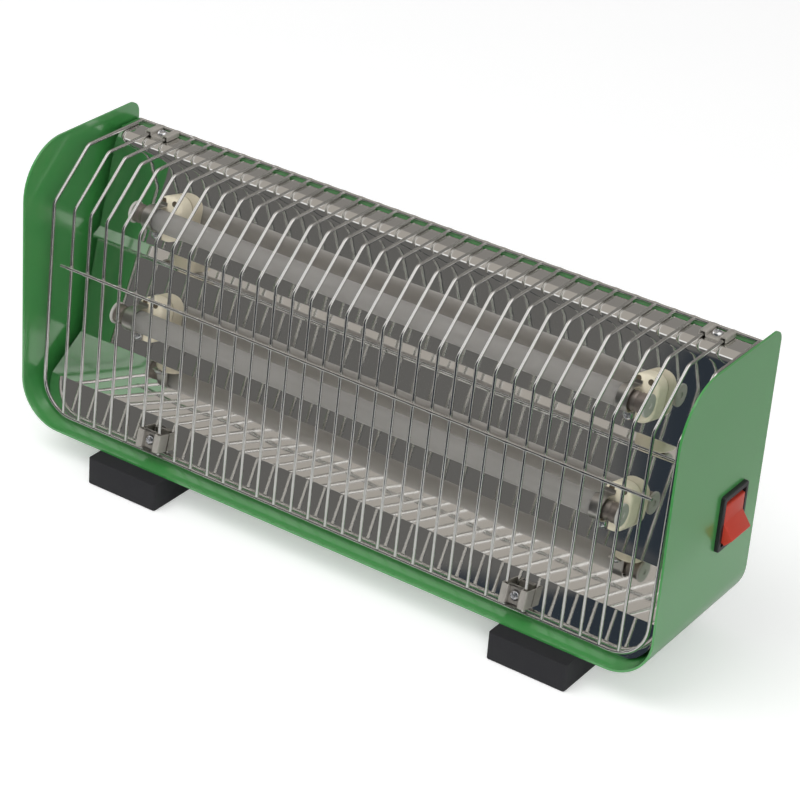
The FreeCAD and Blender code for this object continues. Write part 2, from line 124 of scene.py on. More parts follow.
class GuardSizes(bpy.types.PropertyGroup):
    """The bent wire guard."""

    wire: length("Wire", "Diameter of the upright wires and the middle rod", 1.8)
    rod: length("Rod", "Diameter of the frame rod and the rear rod", 2.2)
    weld: length("Weld bead", "How much a weld swells the wire", 0.22)
    weld_long: length("Weld length", "How far a weld reaches along the wire", 1.6)
    front: length("Front", "Foot's distance behind the case's front edge", 8.5)
    foot: length("Foot", "Foot's height over the case's underside", 5.5)
    low_y: length("Lower knee depth", "Depth of the lower knee", 15.5)
    low_z: length("Lower knee height", "Height of the lower knee", 127.5)
    high_y: length("Upper knee depth", "Depth of the upper knee", 43.0)
    bend: length("Bend", "Radius of the knees", 4.0)
    corner: length("Corner", "Radius of the frame's lower corners", 20.0)
    end_gap: length("End gap", "From the outermost wire to the frame's side", 14.2)
    wires: count("Wires", "Number of upright wires", 33)


class ReflectorSizes(bpy.types.PropertyGroup):
    """The folded reflector, measured on its polished side."""

    sheet: length("Sheet", "Thickness", 0.6)
    lip_setback: length("Lip setback", "Lip's distance behind the case's front edge", 11.0)
    lip_height: length("Lip height", "Height of the front lip", 22.3)
    lip_lean: angle("Lip lean", "How far the lip leans back", 15.0)
    lip_turn: length("Lip turn", "Depth of the flange under the lip", 14.0)
    floor_run: length("Floor run", "Depth of the floor plate", 24.1)
    floor_rise: length("Floor rise", "Rise of the floor plate", 16.2)
    panel_lean: angle("Panel lean", "How far the panels lean back", 13.8)
    ridge_out: length("Ridge", "How far the ridge between the panels stands out", 5.5)
    ridge_above: length("Ridge top", "Where the ridge starts above the middle", 4.2)
    ridge_below: length("Ridge underside", "Where the ridge ends below the middle", 4.0)
    ridge_drop: length("Ridge drop", "How far the ridge's edge hangs below the middle", 1.2)
    fold: length("Fold", "Radius of the folds", 0.9)
    top_bend: length("Top bend", "Radius of the bend at the top", 8.2)
    end_inset: length("End inset", "From the top flange's end to the case's back", 9.0)
    wave: length("Wave", "Height of the sheet's slight waves", 0.1)
    wave_long: length("Wave length", "From one slight wave to the next", 74.0)


class CaseSizes(bpy.types.PropertyGroup):
    """The bent sheet of the case, and the feet."""

    sheet: length("Sheet", "Thickness", 1.2)
    bend: length("Bend", "Outer radius of the lower corners", 25.0)
    front_corner: length("Front corner", "Radius of the walls' upper front corners", 30.0)
    back_corner: length("Back corner", "Radius of the walls' upper back corners", 7.0)
    flange: length("Flange", "Width of the flange that turns in at the back", 12.0)
    flange_top: length("Flange top", "Height at which that flange ends", 149.1)
    bezel_lap: length("Bezel lap", "How far the switch's bezel reaches past its housing", 1.4)
    hole_clearance: length("Switch hole clearance", "From the switch to its hole's edge", 0.1)
    edge: length("Edge", "Rounding of the sheet's edges", 0.35)
    foot_corner: length("Foot corner", "Radius of the feet's upright edges", 1.5)
    foot_edge: length("Foot edge", "Rounding of the feet's rims", 0.7)


class ElementSizes(bpy.types.PropertyGroup):
    """Tubes, caps and ceramics."""

    tube_wall: length("Tube wall", "Wall of the quartz tubes, whose rims are half as round", 1.0)
    standoff: length("Standoff", "From the panel to the tube's axis", 17.0)
    coil_wire: length("Coil wire", "Diameter of the coil's wire", 0.7)
    coil_turns: count("Coil turns", "Turns of each coil", 70)
    cap_neck: length("Cap neck", "Diameter of the cap's neck", 10.5)
    cap_groove: length("Cap groove", "Depth of the crimped grooves", 0.5)
    cap_edge: length("Cap edge", "Rounding of the cap's rims", 0.5)
    disc: length("End disc", "Thickness of the cap's end disc", 1.6)
    holder_tall: length("Holder height", "Height of a ceramic along the panel", 25.0)
    holder_corner: length("Holder corner", "Radius of its outline's corners", 7.5)
    holder_edge: length("Holder edge", "Rounding of its front rim", 2.4)
    holder_gap: length("Holder gap", "From the ceramic to the tube", 0.2)
    pocket: length("Pocket", "Diameter of the small holes in a ceramic", 2.6)
    pocket_spread: length("Pocket spread", "Distance between the two holes", 7.0)
    pocket_climb: length("Pocket climb", "How far they lie above the tube's axis", 9.4)
    strap: length("Strap", "Thickness of the straps", 0.5)
    strap_screw: length("Strap screw", "From the tube's axis down to the strap's screw", 9.4)


class ScrewSizes(bpy.types.PropertyGroup):
    """Pan head screws with a cross recess, and the clips that they hold."""

    head: length("Head", "Diameter", 6.0)
    head_high: length("Head height", "Height", 2.2)
    shank: length("Shank", "Diameter", 3.0)
    short: length("Short shank", "Length of the clip and cover screws' shank", 6.0)
    terminal: length("Terminal shank", "Length of the terminal screws' shank", 18.3)
    slot: length("Recess", "Width of the cross recess's arms", 1.1)
    slot_deep: length("Recess depth", "Depth of the cross recess", 1.1)
    clip: length("Clip sheet", "Thickness of the guard clips", 0.8)
    clip_climb: length("Clip climb", "Place of the lower clips' screws along the lip", 11.2)
    clip_wide: length("Clip width", "Width of the lower clips up the lip", 10.0)
    clip_clearance: length("Clip clearance", "From a clip to its wires", 0.4)
    clip_sink: length("Clip sink", "How far the bridge of the lower clips lies below their tops", 3.4)
    clip_inset: length("Clip inset", "From the upper clips' screws to the case's back", 13.0)
    rim: length("Rim", "From the case's edge to the cover screws", 6.0)
    cover_inset: length("Cover inset", "From the lower cover screws to the case's side", 50.0)
    cover_low: length("Cover screw, low", "Height of the lower side screws", 35.0)
    cover_high: length("Cover screw, high", "Height of the upper side screws", 115.0)
    cover: length("Cover", "How far the cover stands behind the case", 1.0)


class SwitchSizes(bpy.types.PropertyGroup):
    """The rocker of the switch."""

    half: length("Half height", "From the pivot to the rocker's end", 12.2)
    taper: length("Taper", "How far the crest lies inside the end", 3.0)
    valley: length("Valley", "From the pivot to the valley of the face", 1.5)
    skirt: length("Skirt", "From the pivot back to the skirt's edge", 1.0)
    belly: length("Belly", "From the pivot back to the belly", 5.0)
    belly_half: length("Belly half", "Half height of the belly", 7.0)
    wide: length("Width", "Width along the pivot", 19.6)
    pin: length("Pin", "Diameter of the pivot pins", 2.0)
    pin_long: length("Pin length", "How far a pin stands out", 1.2)
    proud: length("Bezel", "How far the bezel stands out of the wall", 2.2)
    edge: length("Edge", "Rounding of the rocker's edges", 0.7)
    tilt: angle("Tilt", "How far the rocker leans from its middle place", 18.0)


class HeaterColours(bpy.types.PropertyGroup):
    """Colours of the finishes."""

    green: colour("Case paint", "Gloss paint of the case", 0.052, 0.285, 0.066)
    mirror: colour("Reflector", "Polished sheet", 0.80, 0.79, 0.77)
    chrome: colour("Guard", "Bright wire", 0.65, 0.64, 0.62)
    quartz: colour("Quartz", "Milky tube", 0.212, 0.205, 0.196)
    ceramic: colour("Ceramic", "Cream holders", 0.80, 0.73, 0.57)
    bead: colour("End discs", "Fired discs at the tubes' ends", 0.50, 0.485, 0.455)
    steel: colour("Steel", "Straps, coils and hidden screws", 0.50, 0.48, 0.45)
    nickel: colour("Nickel", "Dull metal of the guard's clips", 0.46, 0.435, 0.395)
    tarnish: colour("Tarnish", "Heat-stained necks of the end caps", 0.27, 0.235, 0.21)
    zinc: colour("Zinc", "Bright plated screws", 0.74, 0.74, 0.75)
    black: colour("Black plastic", "Switch housing and gland", 0.012, 0.012, 0.014)
    rubber: colour("Rubber", "Feet", 0.016, 0.016, 0.019)
    red: colour("Rocker", "Red switch rocker", 0.55, 0.053, 0.03)
    brass: colour("Brass", "Nuts and blades", 0.62, 0.42, 0.14)
    pale: colour("Pale plastic", "Leads and terminal block", 0.62, 0.60, 0.56)
    # Painted shade: a dark colour that stands in for the shade inside the ceramics' holes
    hole: colour("Holes", "Painted shade in the ceramics' holes", 0.10, 0.078, 0.052)


class HeaterStage(bpy.types.PropertyGroup):
    """Camera and light."""

    eye: bpy.props.FloatVectorProperty(
        name="Camera", description="Where the camera stands", default=EYE, subtype="TRANSLATION"
    )
    azimuth: angle("Azimuth", "How far round to the right", 32.26)
    elevation: angle("Elevation", "How far it looks down", 28.98)
    roll: angle("Roll", "Tilt of the picture", 4.63)
    lens: number("Lens", "Focal length in mm", 125.35)
    key: number("Key light", "Power of the key lamp in W", 18.0)
    front: number("Front light", "Power of the front lamp in W", 12.5)
    fill: number("Fill", "Strength of the surrounding light", 0.5)
    floor_glow: number("Floor glow", "What the camera sees added to the floor, to make it white", 0.34)
    window: number("Window", "Brightness that the wires mirror", 1.7)
    ceiling: colour("Ceiling", "Warm grey that the bright metal mirrors from above", 0.44, 0.415, 0.38)
    wall: colour("Wall", "Grey that it mirrors from behind", 0.26, 0.25, 0.235)
    side: colour("Side", "Grey that the right wall's gloss mirrors from the floor", 0.40, 0.40, 0.39)
    dusk: colour("Dusk", "Dark grey that it mirrors from the front left", 0.137, 0.135, 0.130)
    night: colour("Night", "Blue black that it mirrors from the front right", 0.029, 0.038, 0.050)


def add(name, data):
    """A new object in the scene."""
    made = bpy.data.objects.new(name, data)
    bpy.context.scene.collection.objects.link(made)
    return made


# Shader groups and materials

# Each finish has a name, its patches' scale and depth, its roughness from and to, its grain's scale, bump
# strength and depth in metres, and the shader's plain sockets
METAL = {"Metallic": 1.0}
SATIN = {"Specular IOR Level": 0.3}
COAT = {"Coat Weight": 0.9, "Coat Roughness": 0.16, "Coat IOR": 1.7}
MILK = {"Subsurface Weight": 1.0, "Subsurface Scale": 0.05, "Subsurface Radius": (1.0, 0.98, 0.95)}
FINISHES = {
    "green": ("gloss green paint", (9.0, 0.05), (0.32, 0.40), (900.0, 0.05, 0.0002), COAT),
    "mirror": ("polished reflector", (6.0, 0.03), (0.03, 0.07), (35.0, 0.01, 0.0006), METAL),
    "chrome": ("bright guard wire", (25.0, 0.04), (0.15, 0.22), (1500.0, 0.01, 0.0001), METAL),
    "quartz": ("milky quartz", (14.0, 0.05), (0.45, 0.55), (700.0, 0.03, 0.0002), MILK),
    "ceramic": ("cream ceramic", (90.0, 0.08), (0.55, 0.7), (1200.0, 0.12, 0.0003), {}),
    "bead": ("fired end disc", (90.0, 0.08), (0.5, 0.65), (1200.0, 0.12, 0.0003), {}),
    "steel": ("satin steel", (80.0, 0.06), (0.28, 0.42), (1600.0, 0.06, 0.0001), METAL),
    "nickel": ("dull nickel", (120.0, 0.10), (0.36, 0.5), (1600.0, 0.06, 0.0001), {"Metallic": 0.45}),
    "tarnish": ("heat-stained steel", (90.0, 0.16), (0.34, 0.5), (1600.0, 0.06, 0.0001), {"Metallic": 0.8}),
    "zinc": ("zinc screw", (150.0, 0.06), (0.2, 0.3), (1600.0, 0.04, 0.0001), METAL),
    "black": ("black plastic", (50.0, 0.08), (0.35, 0.45), (1400.0, 0.08, 0.0002), {}),
    "rubber": ("black rubber", (60.0, 0.12), (0.6, 0.75), (1100.0, 0.2, 0.0004), {}),
    "red": ("red rocker plastic", (70.0, 0.03), (0.3, 0.38), (1500.0, 0.03, 0.0001), SATIN),
    "pale": ("pale wiring plastic", (70.0, 0.05), (0.45, 0.6), (1500.0, 0.1, 0.0002), {}),
    "brass": ("brass", (90.0, 0.05), (0.25, 0.4), (1500.0, 0.05, 0.0001), METAL),
    # Painted shade: the holes' dark finish stands in for the shade inside them
    "hole": ("shaded hole", (200.0, 0.2), (0.7, 0.9), (1500.0, 0.1, 0.0002), {}),
}


def fill(node, values):
    """Sets a shader node's unlinked inputs."""
    for key, value in values.items():
        node.inputs[key].default_value = value
    return node


def place(tree, kind, values=None, **settings):
    """Adds a shader node with its settings and the values of its unlinked inputs."""
    made = tree.nodes.new(kind)
    for key, setting in settings.items():
        setattr(made, key, setting)
    return fill(made, values or {})


def join(tree, *links):
    """Links shader nodes; each link is a node, its output, the next node and its input."""
    for node, outlet, taker, inlet in links:
        tree.links.new(node.outputs[outlet], taker.inputs[inlet])


def uneven_group():
    """Shared group: a colour that drifts in soft patches, a roughness that drifts too and a fine height."""
    name = "Uneven finish"
    if name in bpy.data.node_groups:
        return bpy.data.node_groups[name]
    group = bpy.data.node_groups.new(name, "ShaderNodeTree")
    inputs = ("Color", "Patch Scale", "Patch Depth", "Grain Scale", "Rough Low", "Rough High")
    for way, labels in (("INPUT", inputs), ("OUTPUT", ("Color", "Roughness", "Height"))):
        for label in labels:
            kind = "NodeSocketColor" if label == "Color" else "NodeSocketFloat"
            group.interface.new_socket(label, in_out=way, socket_type=kind)
    enter = place(group, "NodeGroupInput")
    leave = place(group, "NodeGroupOutput")
    where = place(group, "ShaderNodeTexCoord")
    patch = place(group, "ShaderNodeTexNoise", {"Detail": 3.0, "Roughness": 0.55})
    grain = place(group, "ShaderNodeTexNoise", {"Detail": 2.0, "Roughness": 0.6})
    low, high = (place(group, "ShaderNodeMath", {0: 1.0}, operation=way) for way in ("SUBTRACT", "ADD"))
    # The noise seldom leaves the middle of its range
    gain, rough = (place(group, "ShaderNodeMapRange", {"From Min": 0.3, "From Max": 0.7}) for _ in range(2))
    tint = place(group, "ShaderNodeVectorMath", operation="SCALE")
    join(
        group,
        (where, "Object", patch, "Vector"),
        (where, "Object", grain, "Vector"),
        (enter, "Patch Scale", patch, "Scale"),
        (enter, "Grain Scale", grain, "Scale"),
        (enter, "Patch Depth", low, 1),
        (enter, "Patch Depth", high, 1),
        (patch, "Fac", gain, "Value"),
        (low, 0, gain, "To Min"),
        (high, 0, gain, "To Max"),
        (enter, "Color", tint, 0),
        (gain, "Result", tint, "Scale"),
        (patch, "Fac", rough, "Value"),
        (enter, "Rough Low", rough, "To Min"),
        (enter, "Rough High", rough, "To Max"),
        (tint, "Vector", leave, "Color"),
        (rough, "Result", leave, "Roughness"),
        (grain, "Fac", leave, "Height"),
    )
    return group


def finish(kind):
    """A Principled material on the uneven group, made once. Its colour is the property of the same name."""
    name, patch, rough, (grain, strength, depth), sockets = FINISHES[kind]
    if name in bpy.data.materials:
        return bpy.data.materials[name]
    made = bpy.data.materials.new(name)
    made.use_nodes = True
    tree = made.node_tree
    shader = fill(tree.nodes["Principled BSDF"], sockets)
    tone = (*getattr(bpy.context.scene.heater_colours, kind), 1.0)
    values = {"Color": tone, "Patch Scale": patch[0], "Patch Depth": patch[1], "Grain Scale": grain}
    values |= {"Rough Low": rough[0], "Rough High": rough[1]}
    group = place(tree, "ShaderNodeGroup", values, node_tree=uneven_group())
    bump = place(tree, "ShaderNodeBump", {"Strength": strength, "Distance": depth})
    join(
        tree,
        (group, "Color", shader, "Base Color"),
        (group, "Roughness", shader, "Roughness"),
        (group, "Height", bump, "Height"),
        (bump, "Normal", shader, "Normal"),
    )
    return made


def dress(kind, *names):
    """Gives CAD nodes their finish."""
    for name in names:
        mesh = NODES[name].data
        mesh.materials.clear()
        mesh.materials.append(finish(kind))


def named(start):
    """CAD nodes whose names start so."""
    return [name for name in NODES if name.startswith(start)]


# Surfaces


def unit(vectors):
    """Vectors of length one."""
    return vectors / np.linalg.norm(vectors, axis=-1, keepdims=True)


def hump(distance, reach):
    """A soft hump, e to the power of -(distance / reach)^2."""
    return np.exp(-((distance / reach) ** 2))


def even_shares(gaps, step):
    """Places along a row of gaps, counted in gaps, that cut each into even shares no longer than step."""
    counts = np.maximum(1, np.ceil(np.abs(gaps) / step).astype(int))
    return np.concatenate([np.arange(n) / n + i for i, n in enumerate(counts)] + [[len(counts)]])


def spread(stops, step):
    """Values through all the stops, in even shares of each gap, no farther apart than step."""
    stops = np.asarray(stops, float)
    return np.interp(even_shares(np.diff(stops), step), np.arange(len(stops)), stops)


def merged(*stops, decimals=7):
    """All stops in order, each of them once, to a tenth of a micron."""
    return np.unique(np.round(np.concatenate(stops), decimals))


def bent_path(corners, radii, step, arc=7):
    """Stations along straight runs joined by arcs: an arc of radius r starts r tan(turn / 2) before its
    corner and turns round a centre on the corner's bisector. Straight runs get a station every step."""
    corners = np.asarray(corners, float)
    knots = [corners[:1]]
    for before, corner, after, radius in zip(corners, corners[1:], corners[2:], radii):
        ahead, onward = unit(corner - before), unit(after - corner)
        turn = math.acos(float(np.clip(ahead @ onward, -1, 1)))
        first = corner - ahead * radius * math.tan(turn / 2)
        inward = unit(onward - (onward @ ahead) * ahead)
        swing = np.linspace(0, turn, arc)[:, None]
        knots.append(first + radius * (np.sin(swing) * ahead + (1 - np.cos(swing)) * inward))
    knots = np.concatenate([*knots, corners[-1:]])
    share = even_shares(np.linalg.norm(np.diff(knots, axis=0), axis=1), step)
    return np.stack([np.interp(share, np.arange(len(knots)), column) for column in knots.T], -1)


def rod_along(path, radius, across, sides=12):
    """Rings p + r (cos a u + sin a v) round each station p, with u and v square to the path. The path never
    runs along across."""
    ahead = unit(np.gradient(path, axis=-2))
    u = unit(np.cross(ahead, across))
    v = np.cross(u, ahead)
    a = np.linspace(0, 2 * np.pi, sides, endpoint=False)[:, None]
    ring = np.cos(a) * u[..., None, :] + np.sin(a) * v[..., None, :]
    return path[..., None, :] + np.asarray(radius)[..., None, None] * ring


def turned(along, radius, sides=40):
    """Rings of radius r at height z, round the Z axis: (r cos a, r sin a, z)."""
    a = np.linspace(0, 2 * np.pi, sides, endpoint=False)
    radius, along = np.asarray(radius)[:, None], np.asarray(along)[:, None]
    return np.stack([radius * np.cos(a), radius * np.sin(a), along + 0 * a], -1)


def box_outline(wide, tall, corner, arc=6):
    """A rectangle with round corners, counter-clockwise: corner centre + r (cos a, sin a)."""
    a = (np.linspace(0, RIGHT_ANGLE, arc) + np.arange(4)[:, None] * RIGHT_ANGLE).ravel()
    quadrants = np.array([(1, 1), (-1, 1), (-1, -1), (1, -1)])
    centre = np.repeat(quadrants * (wide / 2 - corner, tall / 2 - corner), arc, axis=0)
    return centre + corner * np.stack([np.cos(a), np.sin(a)], -1)


def round_rim(edge, arc=5):
    """A quarter round from a face to a side: its inset e (1 - sin t) and its depth e (1 - cos t)."""
    t = np.linspace(0, RIGHT_ANGLE, arc)
    return edge * (1 - np.sin(t)), edge * (1 - np.cos(t))


def cushion(outline, low, high, low_edge, high_edge, arc=5):
    """A slab over a counter-clockwise outline from z = low to high, drawn in by a round rim at each end."""
    step = np.roll(outline, -1, axis=0) - np.roll(outline, 1, axis=0)
    out = unit(np.stack([step[:, 1], -step[:, 0]], -1))
    (low_inset, low_deep), (high_inset, high_deep) = round_rim(low_edge, arc), round_rim(high_edge, arc)
    inset = np.concatenate([low_inset, high_inset[::-1]])
    z = np.concatenate([low + low_deep, high - high_deep[::-1]])
    flat = outline - inset[:, None, None] * out
    return np.concatenate([flat, np.broadcast_to(z[:, None, None], flat.shape[:2] + (1,))], -1)


def cross_screw(sizes, shank, sides=48, rings=22):
    """A screw along Z with its head on z = 0. The head's top is a dome, h (1 - 0.65 (r / R)^4), less a cross
    recess where the nearer of |x| and |y| is under half an arm's width, out to two thirds of R."""
    radius, high, stem = sizes.head / 2, sizes.head_high, sizes.shank / 2
    # Shares of the shank's radius, of the head's height, of an arm's width and of the head's radius
    tip, rim, crown, soft, recess, recess_soft, pole = 0.4, 0.3, 0.65, 0.2, 0.66, 0.12, 0.015
    dome = np.linspace(1, pole, rings)
    r = np.concatenate([[tip * stem, stem, stem, radius, radius], radius * dome])
    z = np.concatenate([[-shank, -shank + stem / 2, 0, 0, rim * high], high * (1 - crown * dome**4)])
    shell = turned(z, r, sides)
    top = shell[-rings:]
    near = np.minimum(np.abs(top[..., 0]), np.abs(top[..., 1]))
    reach = np.hypot(top[..., 0], top[..., 1]) / radius
    arms = np.clip((sizes.slot / 2 - near) / (soft * sizes.slot) + 1 / 2, 0, 1)
    top[..., 2] -= sizes.slot_deep * arms * np.clip((recess - reach) / recess_soft, 0, 1)
    return shell


def set_in(points, origin, x_dir, y_dir, z_dir):
    """Local points moved to an origin with the given axes."""
    return np.asarray(origin) + points @ np.array([x_dir, y_dir, z_dir], float)


def shell_faces(shells, rings, sides):
    """Faces of closed shells, each made of rings of points: quads between rings, and both end rings."""
    i, j = np.meshgrid(np.arange(rings - 1), np.arange(sides), indexing="ij")
    k = (j + 1) % sides
    quads = np.stack([i * sides + j, i * sides + k, (i + 1) * sides + k, (i + 1) * sides + j], -1)
    starts = np.arange(shells)[:, None, None] * rings * sides
    ring = np.arange(sides)
    ends = np.stack([ring[::-1], ring + (rings - 1) * sides])
    quads = (quads.reshape(-1, 4) + starts).reshape(-1, 4)
    return quads.tolist() + (ends + starts).reshape(-1, sides).tolist()


def as_piece(name, points, faces, kind, node, slot, body=BODY, sharp=EDGE_SHARP):
    """Makes a mesh piece from points and faces, merges points that meet, turns its faces outwards and
    shades it smooth between edges sharper than sharp degrees."""
    mesh = bpy.data.meshes.new(name)
    mesh.from_pydata(points.reshape(-1, 3).tolist(), [], faces)
    shell = bmesh.new()
    shell.from_mesh(mesh)
    bmesh.ops.remove_doubles(shell, verts=shell.verts[:], dist=MICRON)
    bmesh.ops.recalc_face_normals(shell, faces=shell.faces[:])
    shell.to_mesh(mesh)
    shell.free()
    mesh.polygons.foreach_set("use_smooth", np.ones(len(mesh.polygons), bool))
    mesh.set_sharp_from_angle(angle=math.radians(sharp))
    mesh.materials.append(finish(kind))
    piece = add(name, mesh)
    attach(piece, body)
    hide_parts(node)
    return piece


def shells_piece(name, shells, kind, node, slot, **options):
    """Makes a piece from one shell or an array of them, each rings by points by xyz."""
    shells = np.asarray(shells)
    shells = shells.reshape(-1, *shells.shape[-3:])
    return as_piece(name, shells, shell_faces(*shells.shape[:3]), kind, node, slot, **options)


# Places that several pieces share

# The lower clips hold the wire of this number from the end and the next one, the upper clips the first two
LOW_CLIP_WIRE, TOP_CLIP_WIRE = 5, 0


def lean_axes(lean):
    """Directions on a sheet that leans back: along the case, up the sheet and out of its front."""
    return X, np.array([0, math.sin(lean), math.cos(lean)]), np.array([0, -math.cos(lean), math.sin(lean)])


def lip_foot():
    """Middle of the lip's foot, from the origin."""
    scene = bpy.context.scene
    return np.array([0, scene.reflector_sizes.lip_setback, scene.case_sizes.sheet])


def clip_top():
    """How far the lower clips reach out of the lip: to their wires at the clips' upper edge, and half a wire
    and a clearance past them."""
    scene = bpy.context.scene
    guard, sizes = scene.guard_sizes, scene.screw_sizes
    _, up, out = lean_axes(scene.reflector_sizes.lip_lean)
    low = np.array([0, guard.front, guard.foot]) - lip_foot()
    ahead = unit(np.array([0, guard.low_y, guard.low_z]) - lip_foot() - low)
    climb = sizes.clip_climb + sizes.clip_wide / 2
    wire = low + ahead * (climb - low @ up) / (ahead @ up)
    return float(wire @ out) + guard.wire / 2 + sizes.clip_clearance


def wire_places():
    """The wires' places along the case, evenly spread between the frame's sides, and half its width."""
    guard = bpy.context.scene.guard_sizes
    low, high = box("guard_frame")
    half = (high[0] - low[0] - guard.rod) / 2
    return np.linspace(-1, 1, guard.wires) * (half - guard.end_gap), half


def clip_place(wire):
    """How far a clip's middle, between a wire and the next one, lies from the case's middle."""
    xs, _ = wire_places()
    return -(xs[wire] + xs[wire + 1]) / 2


# Stage

# Each lamp has the property of its power, its size and its place
LAMPS = {"key lamp": ("key", 1.4, (-0.5, -0.9, 1.9)), "front lamp": ("front", 0.9, (1.1, -1.5, 0.9))}
LAMP_AIM = Vector((0, 0, 0.08))
FLOOR_HALF, FLOOR_DROP = 3.0, 0.2 * MM
PALE = (0.86, 0.86, 0.86, 1)
FLOOR = {"Base Color": PALE, "Roughness": 0.9, "Specular IOR Level": 0.1, "Emission Color": WHITE}
CARD = {"Base Color": (0, 0, 0, 1), "Roughness": 1.0, "Specular IOR Level": 0.0}
CARD_LIFT = 0.5 * MM
# Each card has two opposite corners
GREY_CARDS = {
    "ceiling": ((-1.5, -0.42, 1.2), (0.12, 1.1, 1.2)),
    "wall": ((-1.5, 1.1, 0.25), (1.6, 1.1, 1.2)),
    "side": ((0.25, 0.0, CARD_LIFT), (1.4, 1.2, CARD_LIFT)),
}
WHITE_CARDS = {
    "window": ((-1.0, -0.48, 0.6), (-1.0, 0.15, 1.1)),
    "skylight": ((0.3, -0.5, 1.2), (1.1, 0.5, 1.2)),
}
# A dark card also has the place along the case where its fade starts
DARK_CARDS = {
    "dusk floor": ((-1.2, -0.5, CARD_LIFT), (0.6, -0.15, CARD_LIFT), -0.05),
    "dusk": ((-1.2, -0.5, CARD_LIFT), (0.6, -0.5, 1.0), -0.095),
}
FADE_LONG = 0.05


